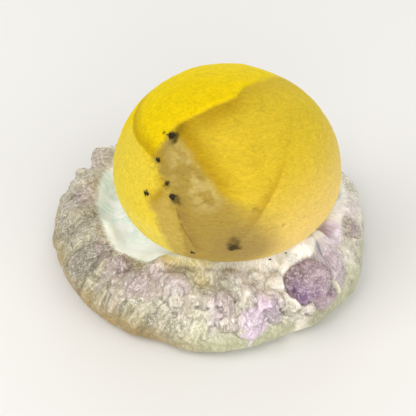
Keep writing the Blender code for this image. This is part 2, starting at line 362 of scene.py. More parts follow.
# The left edge of the duller yellow beside the crack: bearings in degrees by level, then the
# routes of its darker olive smear, of the pale wisps in the window, and of a fine curl near the
# top.
APRON_LEVELS = (-0.20, -0.01, 0.14, 0.24, 0.39, 0.45)
APRON_EDGE = (239.0, 235.5, 232.3, 228.3, 232.1, 236.0)
OLIVE_SMEAR = ((-0.545, -0.69, 0.475), (-0.55, -0.74, 0.39), (-0.63, -0.73, 0.27))
WISP_ROUTE = ((-0.36, -0.63, 0.69), (-0.30, -0.78, 0.55), (-0.20, -0.86, 0.47))
CURL = ((0.30, -0.20, 0.93), (0.262, -0.23, 0.935), (0.268, -0.262, 0.925), (0.292, -0.262, 0.92))
# Where the shade under the cap's edge is deepest, and the middle of the brownish part low down.
DEEP_SHADE = ((-0.18, -0.37, 0.91), (0.0, -0.25, 0.96))
LOW_MIDDLE = (0.12, -0.97, -0.12)


def dark_clouds(ways, fine_wander):
    """How dark the mineral under the skin makes each place."""
    dark = np.zeros(len(ways))
    for way, radius, softness, strength in SMUDGES:
        gap = np.linalg.norm(ways - unit(way), axis=1) + 0.9 * fine_wander
        dark = np.maximum(dark, strength * fade(radius + softness, radius, gap))
    return dark


def ball_colours(ways, wander, fine_wander):
    """How much of each colour zone every point of the ball shows."""
    right, back, up = ways.T
    loose = wander + 0.5 * fine_wander

    # The cap, whose edge is crisp in the middle and soft at both ends.
    at_left = fade(-0.40, -0.66, right)
    cap = past_fold(ways) + 0.8 * wander
    edge = 0.018 + 0.045 * fade(-0.36, -0.46, right) + 0.03 * fade(0.1, 0.5, right)
    on_cap = fade(-edge, edge, cap + 0.15 * at_left + fine_wander * at_left)

    # The lemon crescent at the left, the painted shade on the cap beside its seam, and a darker
    # olive smear on the crescent.
    shoulder = past(ways, SHOULDER) + wander
    left_wall = past(ways, WINDOW_LEFT) + 2 * loose
    lemon = fade(0.012, -0.012, shoulder) * fade(-0.05, 0.05, left_wall) * fade(0.2, -0.2, back)
    seam = fade(0.13, 0.01, shoulder) * fade(-0.004, 0.006, shoulder) * at_left
    olive_smear = groove(gap_to(ways, OLIVE_SMEAR) + 1.5 * loose, 0.13) * lemon
    bearings = np.degrees(np.arctan2(back, right)) % 360
    apron = bearings - np.interp(up, APRON_LEVELS, APRON_EDGE) + 120 * loose
    apron = fade(-3.0, 3.0, apron) * fade(0.0, 0.3, lemon) * fade(0.46, 0.40, up)

    # The clearer sector, like a window, with crisp walls that blur low down.
    low = fade(0.52, 0.25, up)
    softness = 0.05 + 0.22 * low
    right_wall = past(ways, WINDOW_RIGHT) + loose
    window = fade(0.05, -0.05, left_wall) * (1 - on_cap)
    window *= fade(-softness, softness, right_wall + 0.20 * low)
    feather = soft_noise(ball_places(ways) / (2.4, 2.4, 1.6), MM, 3)
    wisp = fade(0.26, 0.05, gap_to(ways, WISP_ROUTE)) * fade(-0.2, 0.5, feather)
    low_middle = fade(0.42, 0.1, np.linalg.norm(ways - unit(LOW_MIDDLE), axis=1))

    # The shade under the cap's edge, along the window's walls and before the crease.
    under_fold = (1 - on_cap) * fade(0.30, 0.0, np.clip(-cap, 0, 2))
    under_fold *= 0.35 + 0.65 * groove(gap_to(ways, DEEP_SHADE), 0.5)
    under_fold *= fade(0.9, 0.3, right) * fade(0.9, 0.3, np.abs(back))
    beside_window = fade(-0.22, -0.03, right_wall) * fade(0.03, -0.02, right_wall)
    beside_window *= fade(0.30, 0.62, up) * (1 - on_cap)
    ragged = groove(past(ways, WINDOW_LEFT) + 3 * loose + 0.01, 0.07)
    ragged *= fade(0.15, 0.3, up) * fade(0.74, 0.62, up) * (back < 0)
    crease = past(ways, CREASE) + wander
    before_crease = fade(-0.12, -0.005, crease) * fade(0.006, -0.004, crease)
    before_crease *= fade(0.0, -0.35, back) * fade(0.94, 0.75, up)
    before_crease *= crease_strength(ways)
    shade = under_fold + 0.85 * beside_window + 0.6 * ragged + 0.7 * before_crease

    # The crack, with the shaded body to its right, and the finer lines.
    crack_gap = gap_to(ways, CRACK)
    crack = groove(crack_gap + 0.2 * fine_wander, 0.022)
    shaded = fade(0.0, 0.01, past(ways, CRACK_SIDE) + 0.5 * wander)
    shaded *= fade(0.12, 0.0, crack_gap) * fade(0.40, 0.25, up)
    fine_crack = groove(gap_to(ways, FINE_CRACK) + 0.1 * fine_wander, 0.014)
    curl = groove(gap_to(ways, CURL), 0.012)

    return {
        "honey": fade(0.62, -0.30, up - 0.35 * (right - 0.3)) * (1 - lemon),
        "fold_shade": np.clip(shade, 0, 1),
        "cap": on_cap,
        "window": window,
        "wisp": window * wisp,
        "umber": 0.8 * low_middle * (1 - lemon),
        "lemon": lemon,
        "lemon_low": lemon * fade(0.1, -0.1, up),
        "apron": apron,
        "seam": np.clip(seam + 1.2 * olive_smear, 0, 1),
        "crack": np.maximum(crack * 0.9, 0.45 * shaded),
        "fine_crack": np.maximum(fine_crack * 0.7, curl * 0.6),
        "dark": dark_clouds(ways, fine_wander),
    }


BODY_GOLD = "#CCB02C"
RIM_LEMON = "#F8EC90"
MINERAL_BLACK = "#1E1A0C"

# The paint of each colour zone, from the lowest layer up, and its strength.
BALL_PAINTS = (
    ("honey", "#DABB6C", 1.0),
    ("fold_shade", "#A5820C", 0.85),
    ("cap", "#DCBE06", 1.0),
    ("window", "#9A8240", 0.9),
    ("wisp", "#D2BE7C", 0.45),
    ("umber", "#937C48", 0.9),
    ("lemon", "#D5BC3A", 1.0),
    ("lemon_low", "#DCC85A", 0.6),
    ("apron", "#B2984C", 0.9),
    # seam: painted shade on the cap beside its seam, with the darker olive smear on the crescent.
    ("seam", "#A5820C", 0.7),
)
MARK_PAINTS = (
    # crack: the crack's dark line, with painted shade on the body to its right.
    ("crack", "#7A5A2C", 0.8),
    ("fine_crack", "#7A5A2C", 0.8),
    ("dark", MINERAL_BLACK, 1.0),
)
# How many of the velvet's streaks lie along a metre, in X, Y and Z: each is 0.5 to 1.2 mm long,
# coarser than the real velvet so that it shows.
VELVET_STREAKS = (800, 1400, 2200)
VELVET_HEIGHT = 0.1 * MM


def yellow_fluorite():
    """Fluorite, grown as a ball with a velvet of microscopic crystals: a translucent yellow with a
    soft pale edge, no mirror gloss, and its growth sectors showing through as zones of colour."""
    material, tree, shader = new_material("yellow_fluorite_velvet")
    place = add(tree, "TexCoord", {}, "Object")
    streaked = add(tree, "Mapping", {"Vector": place, "Scale": VELVET_STREAKS})
    velvet = add(
        tree,
        "TexNoise",
        {"Vector": streaked, "Scale": 1.0, "Detail": 4.0, "Roughness": 0.7, "Distortion": 1.4},
    )
    colour = lay_paints(tree, srgb(BODY_GOLD), BALL_PAINTS)
    colour = shade_by(tree, colour, velvet, (0.3, 0.7), (0.78, 1.12))
    bump = {"Height": velvet, "Distance": VELVET_HEIGHT, "Strength": 0.7}
    finish = {
        "Base Color": lay_paints(tree, colour, MARK_PAINTS),
        "Normal": add(tree, "Bump", bump),
        "Roughness": 0.6,
        "IOR": 1.434,
        "Specular IOR Level": 0.04,
        "Subsurface Weight": 0.8,
        "Subsurface Radius": (1.0, 0.75, 0.25),
        "Subsurface Scale": 1.6 * MM,
        "Sheen Weight": 0.02,
        "Sheen Roughness": 0.4,
        "Sheen Tint": srgb(RIM_LEMON),
    }
    set_inputs(tree, shader, finish)
    return material


# ---- the cluster's shape

# The angle between a quartz crystal's axis and the square to a face of its point, and the share of
# its width between its axis and the middle of a side.
POINT_ANGLE = math.radians(51.8)
SIDE_SHARE = math.cos(math.radians(30)) / 2

# Crystals that lie along the outer slope with their points uphill, then small ones that stand on
# them: how many are tried, narrowest and widest, the lift of the point off the slope in degrees,
# how far that varies, the lowest level, and the share of a crystal's width that keeps others off.
SOWINGS = (
    (1500, 2.2 * MM, 4.2 * MM, 18.0, 10.0, 5.4 * MM, 0.46),
    (260, 1.2 * MM, 2.0 * MM, 30.0, 20.0, 5.4 * MM, 0.8),
)
# Places where the wall is eased in or out: middle, radius and shift in mm.
EASED = (
    ((-20.0, 14.0, 9.0), 7.0, (0.8, -0.8, -0.5)),
    ((-8.0, -22.5, 2.0), 6.0, (0.3, 0.9, 0.0)),
    ((-17.8, 11.0, 9.8), 3.5, (-0.8, 0.8, 1.0)),
    ((-11.0, -11.0, 10.0), 5.0, (0.0, -0.8, -0.9)),
    ((25.5, 5.5, 9.5), 5.0, (-0.9, 0.0, -1.0)),
    ((21.0, 9.5, 10.5), 5.0, (0.4, 0.6, 0.8)),
    ((23.5, -9.0, 3.0), 5.0, (0.5, -0.2, 0.0)),
    ((16.5, -17.5, 2.5), 5.0, (0.5, -0.6, 0.0)),
    ((19.5, -0.5, 7.5), 7.0, (0.0, 0.0, 2.4)),
)
# How far a point may turn sideways in degrees, and how far a crystal reaches from its foot and
# rises above what it grows on, in widths. Then the most that crystals rise in all, the share of it
# that etching has left, the width of an edge, and how deep two crystals' seam lies.
SIDEWAYS = 28.0
CRYSTAL_REACH = 1.6
RISES = (0.05, 0.13)
MOST_RISE = 0.9 * MM
STANDING_OUT = 0.62
EDGE_WIDTH = 0.16 * MM
SEAM_SINK = 0.03 * MM
# The bearings between which the wall is smooth, then those of the crust, and how far the crust
# reaches from the ball.
SMOOTH_SIDE = (-32, 48)
CRUST_BEARINGS = (228, 378)
CRUST_GAP = 7.5 * MM
# The big crystal: its middle, up to where round it nothing is worn and from where all is, and how
# far off its outline, in mm, the small crystals stay.
BIG_CRYSTAL = np.array((15.9, -15.2, 8.0)) * MM
UNWORN_REACH = (4.5 * MM, 6.5 * MM)
BIG_MARGIN = 0.3
# The crust's lip and the cleft round the big crystal.
LIP_HEIGHT = 0.35 * MM
CLEFT_DEPTH = 0.22 * MM
# The mesh: its spacing, how often points take the mean of their neighbours to wear it smooth and
# to even out its normals, and the number of triangles that it is thinned to.
VOXEL = 0.19 * MM
WEAR_ROUNDS = 110
NORMAL_ROUNDS = 12
MOST_TRIANGLES = 196000
SHARP_ANGLE = math.radians(38)
ETCH_HEIGHT = 0.03 * MM
RIB_HEIGHT = 0.10 * MM
RIPPLE_HEIGHT = 0.12 * MM
RIM_RADIUS = 18.0 * MM

crest_by_degree = np.array([around(CREST, bearing) for bearing in range(360)]) * MM


def about_axis(places):
    """Each place's bearing about the ball's axis, in radians, and its distance from it."""
    x, y = (places - BALL_MIDDLE).T[:2]
    return np.arctan2(y, x), np.hypot(x, y)


def rim_share(places):
    """How far each place lies outside the crest: negative in the hollow."""
    bearings, distances = about_axis(places)
    crest = np.interp(np.degrees(bearings), np.arange(360), crest_by_degree, period=360)
    return distances - crest


def flow_of(places):
    """Coordinates along the rim and down its slope, in mm, for what runs down the crystals."""
    bearings, distances = about_axis(places)
    along = bearings * RIM_RADIUS
    down = distances - places[:, 2]
    return np.stack([along, down, np.zeros(len(places))], 1) / MM


def edge_ends(mesh):
    """The two points at the ends of each edge of a mesh."""
    ends = np.zeros(len(mesh.edges) * 2, np.int64)
    mesh.edges.foreach_get("vertices", ends)
    return ends[0::2], ends[1::2]


def worn(mesh, values, rounds):
    """Values on a mesh's points after each has taken the mean of its neighbours, many times."""
    a, b = edge_ends(mesh)
    size = len(values)
    count = np.bincount(a, minlength=size) + np.bincount(b, minlength=size)
    for _ in range(rounds):
        columns = [
            np.bincount(a, column[b], size) + np.bincount(b, column[a], size)
            for column in values.T
        ]
        values = np.stack(columns, 1) / count[:, None]
    return values


def crystal_faces(axis, side, width, dice):
    """The faces of a six-sided crystal about its shoulder, as (square to each face, distances)."""
    third = np.cross(side, axis)
    turn = dice.choice((0.0, math.pi / 6)) + dice.uniform(-0.2, 0.2)
    squares, distances = [], []
    for corner in range(6):
        angle = turn + corner * math.pi / 3
        away = math.cos(angle) * side + math.sin(angle) * third
        squares.append(away)
        distances.append(width * SIDE_SHARE * dice.uniform(0.85, 1.1))
        squares.append(away * math.sin(POINT_ANGLE) + axis * math.cos(POINT_ANGLE))
        distances.append(width * SIDE_SHARE * math.sin(POINT_ANGLE) * dice.uniform(0.7, 1.15))
    return np.array(squares), np.array(distances)


def reach_through(squares, distances, starts, ways):
    """How far each point can go along its way before it leaves a crystal, and how near an edge.

    A face that the way almost runs along is neither entered nor left."""
    toward = ways @ squares.T
    room = distances - starts @ squares.T
    with np.errstate(divide="ignore", invalid="ignore"):
        crossing = room / toward
    leaving = np.where(toward > 0.02, crossing, np.inf)
    entering = np.where(toward < -0.02, crossing, -np.inf).max(axis=1)
    leaving.sort(axis=1)
    exit_at, edge_gap = leaving[:, 0], leaving[:, 1] - leaving[:, 0]
    outside = ((np.abs(toward) <= 0.02) & (room < 0)).any(axis=1)
    missed = (entering > exit_at) | (entering > 0.25 * MM) | outside
    return np.where(missed, -np.inf, exit_at), edge_gap


def lie_of_crystal(foot, normal, lift, spread, dice):
    """How a crystal lies on the slope: its axis, a way across it, and its lift in radians."""
    outward = unit((foot - BALL_MIDDLE) * (1, 1, 0))
    uphill = UP - outward
    uphill = unit(uphill - normal * (normal @ uphill))
    across = np.cross(normal, uphill)
    swing = math.radians(dice.uniform(-SIDEWAYS, SIDEWAYS))
    uphill = uphill * math.cos(swing) + across * math.sin(swing)
    lifted = math.radians(lift + dice.uniform(-spread, spread))
    axis = uphill * math.cos(lifted) + normal * math.sin(lifted)
    return axis, unit(np.cross(axis, normal + 0.3 * uphill)), lifted


def grow_crystals(places, normals):
    """Grows crystals over the rim, but not on the big crystal or the yellow crust.

    Gives heights along the normals, each point's crystal, how near it is to an edge, and its place
    along and across the crystal, for what runs along the growth."""
    dice = random.Random(5)
    heights = np.zeros(len(places))
    owners = np.full(len(places), -1)
    edges = np.zeros(len(places))
    growth = flow_of(places)
    free = rim_share(places) > 0.0
    free &= inside_outline(places / MM, BIG_OUTLINE) < -BIG_MARGIN
    free &= spots(places, FLUORITE_SPOTS) < 0.4
    crystal = 0
    for tries, narrowest, widest, lift, spread, lowest, spacing in SOWINGS:
        ground = np.flatnonzero(free & (places[:, 2] > lowest))
        sown = []
        for _ in range(tries):
            at = ground[dice.randrange(len(ground))]
            foot, normal = places[at], normals[at]
            width = dice.uniform(narrowest, widest)
            if any(math.dist(foot, other) < spacing * (width + wide) / 2 for other, wide in sown):
                continue
            sown.append((foot, width))
            axis, side, lifted = lie_of_crystal(foot, normal, lift, spread, dice)
            rise = heights[at] + width * dice.uniform(*RISES)
            squares, distances = crystal_faces(axis, side, width, dice)
            shoulder = foot + normal * (rise - width * SIDE_SHARE * math.cos(lifted))
            near = np.flatnonzero(np.linalg.norm(places - foot, axis=1) < width * CRYSTAL_REACH)
            near = near[normals[near] @ normal > 0.3]
            reach, gap = reach_through(squares, distances, places[near] - shoulder, normals[near])
            reach = np.where(free[near], reach, -np.inf)
            better = reach > heights[near]
            won = near[better]
            heights[won] = np.minimum(reach[better], MOST_RISE)
            owners[won] = crystal
            edges[won] = groove(gap[better], EDGE_WIDTH)
            from_foot = (places[won] - foot) / MM
            # The pattern is shifted from crystal to crystal, so that no two look alike.
            shift = np.full(len(won), 7.3 * crystal)
            growth[won] = np.stack([from_foot @ side, from_foot @ axis, shift], 1)
            crystal += 1
    return heights, owners, edges, growth


def seams_between(mesh, owners):
    """Where two crystals meet."""
    a, b = edge_ends(mesh)
    apart = owners[a] != owners[b]
    seams = np.zeros(len(owners))
    seams[a[apart]] = seams[b[apart]] = 1
    return seams


def smooth_side(places):
    """How much each place belongs to the side of the wall where no crystals stand out."""
    bearings = np.degrees(about_axis(places)[0])
    first, last = SMOOTH_SIDE
    side = fade(first - 8, first + 8, bearings) * fade(last + 8, last - 8, bearings)
    return side * fade(-3.0 * MM, -0.5 * MM, rim_share(places))


def gap_to_ball(places):
    """About how far each place lies from the ball's skin."""
    from_middle = places - BALL_MIDDLE
    ways = from_middle / np.where(from_middle[:, 2:] > 0, BALL_UPPER, BALL_LOWER)
    return np.linalg.norm(from_middle, axis=1) * (1 - 1 / np.linalg.norm(ways, axis=1))


def crust_share(places):
    """How much of the crust that joins rim and ball each place takes: all of it in the hollow's
    front and right."""
    first, last = CRUST_BEARINGS
    bearings = (np.degrees(about_axis(places)[0]) - first + 60) % 360 + first - 60
    at_front = fade(first - 12, first + 12, bearings) * fade(last + 25, last - 25, bearings)
    return at_front * fade(1.6 * MM, -0.8 * MM, rim_share(places))


def crust_height(places):
    """The height of the crust that joins the rim to the ball."""
    gap = gap_to_ball(places)
    near = fade(CRUST_GAP, 0.3 * CRUST_GAP, gap)
    return np.maximum(gap + 0.15 * MM, 0) * near * crust_share(places)


def set_in(places):
    """How the crust stands up round the big crystal and leaves a fine cleft beside it."""
    within = inside_outline(places / MM, BIG_OUTLINE)
    lip = fade(-1.8, -0.5, within) * fade(0.0, -0.35, within)
    behind = np.abs(inside_outline(places / MM, SECOND_OUTLINE))
    high = fade(4.0 * MM, 6.0 * MM, places[:, 2])
    cleft = np.maximum(groove(within, 0.4), 0.7 * groove(behind, 0.4))
    return (LIP_HEIGHT * lip - CLEFT_DEPTH * cleft) * high


def wear_down(skin):
    """Wears the wall smooth, fills the clefts between its crystals and lowers their points, but
    keeps the big crystal and the foot."""
    places = places_of(skin.data.vertices)
    away = np.linalg.norm(places - BIG_CRYSTAL, axis=1)
    keep = fade(*UNWORN_REACH, away) * fade(0.3 * MM, 2.5 * MM, places[:, 2])
    for _ in range(2):
        normals = places_of(skin.data.vertex_normals, "vector")
        smooth = worn(skin.data, places, WEAR_ROUNDS)
        # What wearing shrinks is given back.
        smooth += worn(skin.data, places - smooth, WEAR_ROUNDS)
        in_cleft = ((smooth - places) * normals).sum(axis=1) > 0
        in_hollow = fade(0.8 * MM, -0.4 * MM, rim_share(places))
        low = fade(5.5 * MM, 3.5 * MM, places[:, 2])
        wear = np.max([0.3 + 0.65 * in_cleft, 0.95 * in_hollow, 0.92 * low], axis=0)
        places += (smooth - places) * (wear * keep)[:, None]
        skin.data.vertices.foreach_set("co", places.ravel())
        skin.data.update()


def ease_wall(places):
    """Eases the wall in or out at a few places."""
    for middle, radius, shift in EASED:
        gap = np.linalg.norm(places / MM - middle, axis=1)
        places += fade(radius, 0.0, gap)[:, None] * shift * MM


def etch(places, growth):
    """The height of the etched texture: streaks on the crystals, ribs on the wall, soft ripples in
    the hollow."""
    rough = fade(-1.0 * MM, 0.6 * MM, rim_share(places))
    high = fade(2.5 * MM, 4.5 * MM, places[:, 2])
    pits = soft_noise(places, 0.7 * MM, 2) * 0.3
    streaks = 1 - 3.0 * np.abs(soft_noise(growth / (0.7, 1.4, 1), 1.0, 2))
    ribs = soft_noise(flow_of(places) / (0.9, 5.0, 1), 1.0)
    ripples = soft_noise(places, 1.8 * MM)
    height = (pits + streaks) * ETCH_HEIGHT * rough + ribs * RIB_HEIGHT * (1 - high)
    return height + ripples * RIPPLE_HEIGHT * (1 - rough)


def even_copy_of_solid():
    """A copy of the solid, fused and meshed evenly."""
    mesh = bmesh.new()
    mesh.from_mesh(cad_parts["amethyst_cluster"].data)
    bmesh.ops.remove_doubles(mesh, verts=mesh.verts, dist=0.001 * MM)
    skin = object_from(mesh, "amethyst_cluster_skin", pale_amethyst())
    fuse = skin.modifiers.new("fuse", "REMESH")
    fuse.mode = "VOXEL"
    fuse.voxel_size = VOXEL
    apply_modifiers(skin)
    return skin


def thin_out(skin, fields):
    """Thins a mesh to fewer triangles and stores on it the values that its points had."""
    places = places_of(skin.data.vertices)
    tree = KDTree(len(places))
    for at, place in enumerate(places):
        tree.insert(place, at)
    tree.balance()
    thin = skin.modifiers.new("thin", "DECIMATE")
    thin.ratio = MOST_TRIANGLES / (2 * len(skin.data.polygons))
    apply_modifiers(skin)
    keep_outer_shell(skin)
    nearest = [tree.find(place)[1] for place in places_of(skin.data.vertices)]
    store(skin.data, {name: values[nearest] for name, values in fields.items()})


def make_cluster_skin():
    skin = even_copy_of_solid()
    wear_down(skin)
    places = places_of(skin.data.vertices)
    ease_wall(places)
    normals = worn(skin.data, places_of(skin.data.vertex_normals, "vector"), NORMAL_ROUNDS)
    normals /= np.linalg.norm(normals, axis=1)[:, None]
    heights, owners, edges, growth = grow_crystals(places, normals)
    sunk = heights - SEAM_SINK * seams_between(skin.data, owners)
    heights = worn(skin.data, sunk[:, None], 1)[:, 0]
    heights *= fade(2.4 * MM, 5.4 * MM, places[:, 2]) * (1 - 0.8 * smooth_side(places))
    heights *= STANDING_OUT
    heights += crust_height(places) + set_in(places)
    # The underside stays flat.
    heights = (heights + etch(places, growth)) * fade(0.2 * MM, 0.6 * MM, places[:, 2])
    grown = places + normals * heights[:, None]
    grown[:, 2] = np.maximum(grown[:, 2], 0)
    skin.data.vertices.foreach_set("co", grown.ravel())
    skin.data.update()
    thin_out(skin, {**cluster_colours(skin.data, grown, owners, edges), "growth": growth})
    skin.data.shade_smooth()
    skin.data.set_sharp_from_angle(angle=SHARP_ANGLE)
    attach(skin, "root")
    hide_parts("amethyst_cluster")
    return skin


# ---- the cluster's colours

# Where colour gathers: place and radius in mm, and how strong it is.
MAUVE_SPOTS = (
    ((-16.7, -8.9, 9.0), 2.2, 0.75),
    ((-13.6, -12.4, 9.2), 2.8, 0.75),
    ((-10.2, -15.7, 9.0), 2.8, 0.85),
    ((-7.5, -15.5, 9.5), 3.0, 0.45),
    ((-2.6, -19.6, 8.9), 2.4, 0.36),
    ((2.7, -20.5, 9.0), 2.4, 0.70),
    ((-21.3, 3.1, 9.4), 3.4, 0.45),
    ((-18.7, 11.5, 9.5), 3.4, 0.35),
    ((23.0, -4.7, 8.2), 1.8, 0.75),
)
LILAC_SPOTS = (
    ((-6.6, -14.0, 11.2), 2.6, 0.38),
    ((-4.4, -17.0, 9.3), 2.4, 0.30),
    ((8.9, -19.6, 8.0), 2.4, 0.85),
    ((7.0, -21.4, 6.4), 2.6, 0.80),
    ((18.9, -6.3, 9.4), 2.4, 0.75),
    ((18.6, -11.2, 9.0), 3.0, 0.60),
    ((20.5, -1.0, 9.0), 2.4, 0.30),
    ((12.6, -11.4, 10.8), 1.6, 0.40),
)
# The big crystal seen from above, in mm.
BIG_OUTLINE = (
    (11.0, -15.0), (12.3, -17.9), (14.4, -18.3), (18.4, -16.3),
    (19.5, -14.5), (18.0, -13.4), (15.3, -13.1), (12.3, -14.0),
)
# The paler crystal behind it.
SECOND_OUTLINE = (
    (15.3, -13.0), (18.0, -13.6), (20.2, -13.4), (21.4, -10.8),
    (20.2, -9.9), (18.4, -9.9), (16.3, -10.8),
)
# The big crystal's darker face, and its violet.
DARK_FACE = ((11.2, -14.8), (12.4, -16.9), (13.9, -16.3), (14.5, -14.0), (12.5, -13.9))
VIOLET_SPOTS = (((13.2, -17.0, 7.2), 2.6, 0.9), ((16.2, -17.2, 7.6), 1.8, 0.5))
# Clearer, darker crystals.
SMOKY_SPOTS = (
    ((-18.5, -10.1, 8.1), 2.1, 1.0),
    ((-20.2, -10.5, 6.3), 2.1, 1.0),
    ((-18.0, -4.2, 9.8), 3.4, 0.35),
    ((-22.3, -2.6, 7.4), 3.0, 0.45),
    ((-10.4, -18.5, 6.4), 0.9, 0.8),
    ((-9.6, -15.9, 8.9), 2.4, 0.4),
    ((3.1, -16.8, 11.1), 1.8, 0.7),
    ((13.8, -18.7, 6.2), 2.8, 0.4),
    ((17.0, -17.1, 3.8), 4.0, 0.5),
)
# Where the pale crust is painted whiter, as painted light.
PALE_CRUST_AND_LIGHT_SPOTS = (
    ((8.8, -15.2, 9.8), 2.4, 0.8),
    ((9.4, -16.9, 9.0), 2.6, 0.95),
    ((21.5, -9.2, 7.8), 2.4, 0.5),
    ((5.6, -15.2, 10.2), 2.8, 0.6),
    ((0.8, -15.4, 10.6), 3.4, 0.4),
    ((5.4, -18.0, 9.4), 2.4, 0.4),
)
# Where fluorite has grown over the crust.
FLUORITE_SPOTS = (
    ((-5.0, -10.8, 10.0), 3.4, 0.9),
    ((-1.5, -12.4, 10.4), 2.8, 0.8),
    ((-0.8, -16.0, 9.8), 1.8, 0.55),
)


def spots(places, rows):
    """The strongest of several soft spots at each place."""
    found = np.zeros(len(places))
    for middle, radius, strength in rows:
        gap = np.linalg.norm(places / MM - middle, axis=1)
        found = np.maximum(found, strength * fade(radius * 1.4, radius * 0.3, gap))
    return found


def by_crystal(values, owners):
    """Values evened out over each crystal, so that each takes a tone of its own."""
    grown = owners >= 0
    totals = np.bincount(owners[grown], values[grown])
    counts = np.maximum(np.bincount(owners[grown]), 1)
    even = values.copy()
    even[grown] = (totals / counts)[owners[grown]]
    return 0.25 * values + 0.75 * even


def inside_outline(places, corners):
    """How far each place lies inside a convex outline seen from above, whose corners run
    anticlockwise; negative outside it."""
    gaps = []
    for (x0, y0), (x1, y1) in zip(corners, corners[1:] + corners[:1]):
        inward = unit((y0 - y1, x1 - x0))
        gaps.append((places[:, :2] - (x0, y0)) @ inward)
    return np.min(gaps, axis=0)


def big_crystal_zones(places, clouds, mottled):
    """The colour zones of the big crystal and the paler one behind it, then the white edge of the
    crust beside them, partly painted light, and the painted shade round them."""
    seen = places / MM
    x, y, height = seen.T
    raised = fade(3.5, 4.5, height)
    within = inside_outline(seen, BIG_OUTLINE) + 0.2 * clouds
    behind = inside_outline(seen, SECOND_OUTLINE) + 0.2 * clouds
    big = fade(-0.1, 0.1, within) * raised
    second = fade(-0.1, 0.1, behind) * raised * (1 - big)
    grain = soft_noise(places, 0.45 * MM, 2)
    face = fade(-0.15, 0.1, inside_outline(seen, DARK_FACE) + 0.3 * mottled)
    plum = face * (0.7 + 0.9 * grain)
    plum += 0.5 * fade(0.1, 0.5, mottled) + 0.3 * fade(0.1, 0.4, grain)
    pale_grain = (1 - 0.4 * face) * fade(-0.05, -0.4, grain)
    zones = {
        "big": big,
        "plum": big * np.clip(plum, 0, 1),
        "second": np.maximum(second, big * pale_grain),
        "violet": big * spots(places, VIOLET_SPOTS) * (0.8 + 0.4 * mottled),
    }
    white_and_lit_edge = fade(-1.5, -0.7, within) * fade(0.0, -0.2, within) * (1 - second)
    white_and_lit_edge *= fade(17.0, 14.0, x - 0.4 * (y + 16.0))
    outline_shade = np.maximum(groove(within, 0.3), 0.6 * groove(behind, 0.3)) * raised
    return zones, white_and_lit_edge, outline_shade


def cluster_colours(mesh, places, owners, edges):
    """How much of each colour zone, and of gloss, clearness and glow, every point shows."""
    x, y, height = places.T / MM
    outside = rim_share(places) / MM
    patches = soft_noise(places, 4.5 * MM, 3)
    clouds = soft_noise(places, 2.2 * MM, 2)
    mottled = soft_noise(places, 1.3 * MM, 3)
    dice = np.random.default_rng(3)
    tint = np.where(owners < 0, 0.3, dice.uniform(0, 1, owners.max() + 2)[owners])

    # Parts of the cluster.
    crust = crust_share(places)
    # The hollow, painted as glowing: painted light.
    glow = fade(0.7, -0.4, outside) * (1 - crust)
    on_rim = np.maximum(fade(-0.6, 0.8, outside), crust)
    smooth = smooth_side(places)
    left = fade(0.0, -16.0, x)
    front = fade(2.0, -8.0, y)
    low = fade(8.0, 2.5, height + 0.8 * clouds)
    zones, white_and_lit_edge, outline_shade = big_crystal_zones(places, clouds, mottled)

    # Amethyst and smoke, which each crystal takes as a whole.
    faint = 0.26 * fade(-0.1, 0.5, patches) * fade(3.0, 6.0, height) * on_rim
    mauve = by_crystal(np.maximum(faint * (x < 0), spots(places, MAUVE_SPOTS)), owners)
    lilac = by_crystal(np.maximum(faint * (x >= 0), spots(places, LILAC_SPOTS)), owners)
    smoke = by_crystal(spots(places, SMOKY_SPOTS), owners)
    yellow = spots(places, FLUORITE_SPOTS)
    # The pale crust, made whiter still as painted light.
    pale_crust_and_painted_light = np.maximum(white_and_lit_edge, spots(places, PALE_CRUST_AND_LIGHT_SPOTS) * fade(-0.7, 0.2, clouds))

    # Painted shade in hollows and fine clefts, found as what wearing the surface would fill.
    normals = places_of(mesh.vertex_normals, "vector")
    hollow = ((worn(mesh, places, 12) - places) * normals).sum(axis=1) / MM
    cleft = ((worn(mesh, places, 3) - places) * normals).sum(axis=1) / MM
    bright = (1 - zones["big"]) * (1 - crust) * (1 - 0.9 * smooth) * (1 - 0.6 * pale_crust_and_painted_light)
    cleft = fade(0.008, 0.04, cleft) * on_rim * bright * fade(2.5, 5.0, height)

    dull = (1 - 0.5 * crust) * (1 - 0.3 * zones["big"]) * (1 - 0.5 * low)
    creamy = np.maximum(0.5 * fade(0.4, 0.0, tint), 0.8 * fade(-0.3, 0.5, clouds))
    creamy = creamy * (1 - 0.7 * low) + 0.9 * smooth * fade(4.0, 7.5, height)
    return {
        **zones,
        "cream": creamy,
        # Painted shade: darker on the left side, less at the back.
        "left_side_shade": left * (1 - 0.6 * fade(4.0, 12.0, y)),
        "celadon": low * (1 - left),
        "khaki": low * left,
        "ochre": fade(6.5, 2.0, height + 0.5 * clouds) * fade(4.0, -12.0, x),
        "crust": crust,
        "mauve": fade(0.0, 0.5, mauve),
        "lilac": fade(0.0, 0.5, lilac),
        "deep": fade(0.5, 1.0, np.maximum(mauve, lilac)),
        "smoke": np.maximum(smoke, 0.2 * fade(0.75, 0.95, tint) * on_rim),
        "crevice_shade": fade(0.06, 0.22, hollow) * bright,
        "cleft": np.maximum(cleft, outline_shade),
        "pale_crust_and_painted_light": pale_crust_and_painted_light,
        "edge": edges * (1 - zones["big"]),
        "fluorite": np.minimum(1.25 * yellow, 1),
        "glow": glow,
        "mint": glow * fade(-0.4, 0.4, clouds + 0.4 * mottled) * (1 - 0.6 * front),
        "clear": fade(0.35, 0.95, tint) * on_rim,
        "gloss": on_rim * dull + 0.35 * glow,
        "lit": np.clip(glow * (0.35 + 0.65 * front) + 0.3 * (crust + pale_crust_and_painted_light) * (1 - yellow), 0, 1),
    }


QUARTZ_GREY = "#CCC6AA"
# The near white of the painted glow in the hollow, also its glow colour.
GLOW_WHITE = "#FAFFF8"
# The colour of painted shade in hollows and clefts, also of the dark growth lines.
CREVICE_SHADE = "#85766A"
# The white of the frosted lines and of the painted highlight on the edges.
FROST_AND_HIGHLIGHT_WHITE = "#FBFAF0"

